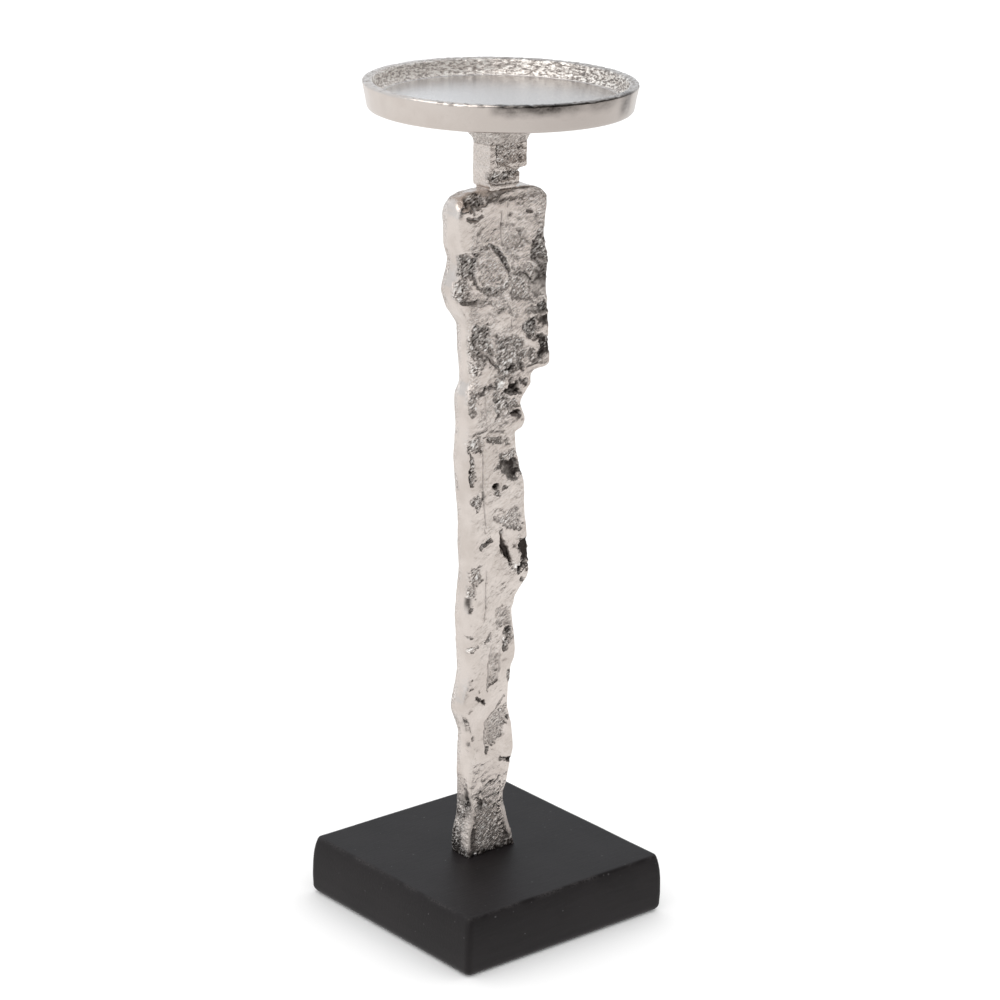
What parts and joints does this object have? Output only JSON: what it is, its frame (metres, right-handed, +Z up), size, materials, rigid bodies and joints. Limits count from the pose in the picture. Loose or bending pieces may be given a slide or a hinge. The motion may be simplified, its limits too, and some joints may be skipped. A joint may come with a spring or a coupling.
{
  "type": "candlestick",
  "caption": "Tall pillar-candle holder: a round shallow cast dish on a slim rough-worked slab stem, screwed to a square black block base.",
  "frame": {"origin": "centre of the square base on the surface that it stands on", "axes": "+Z up; the base's sides lie along X and Y; the stem's broad worked face looks along -Y and its narrow side along -X"},
  "size_m": [0.1194, 0.1194, 0.3864],
  "materials": {
    "felt": "pressed felt",
    "black_base": "matt black paint over wood",
    "zinc_steel": "zinc plated",
    "spring_steel": "plain spring steel",
    "cast_silver": "rough cast, raised faces polished",
    "dish_silver": "polished outside, brushed floor"
  },
  "bodies": {
    "root": {"felt_pads": "felt", "base_block": "black_base", "base_bolt": "zinc_steel", "spring_washer": "spring_steel", "flat_washer": "zinc_steel", "locating_pin": "zinc_steel", "stem": "cast_silver", "top_stud": "zinc_steel", "neck": "cast_silver", "dish": "dish_silver"}
  },
  "joints": []
}
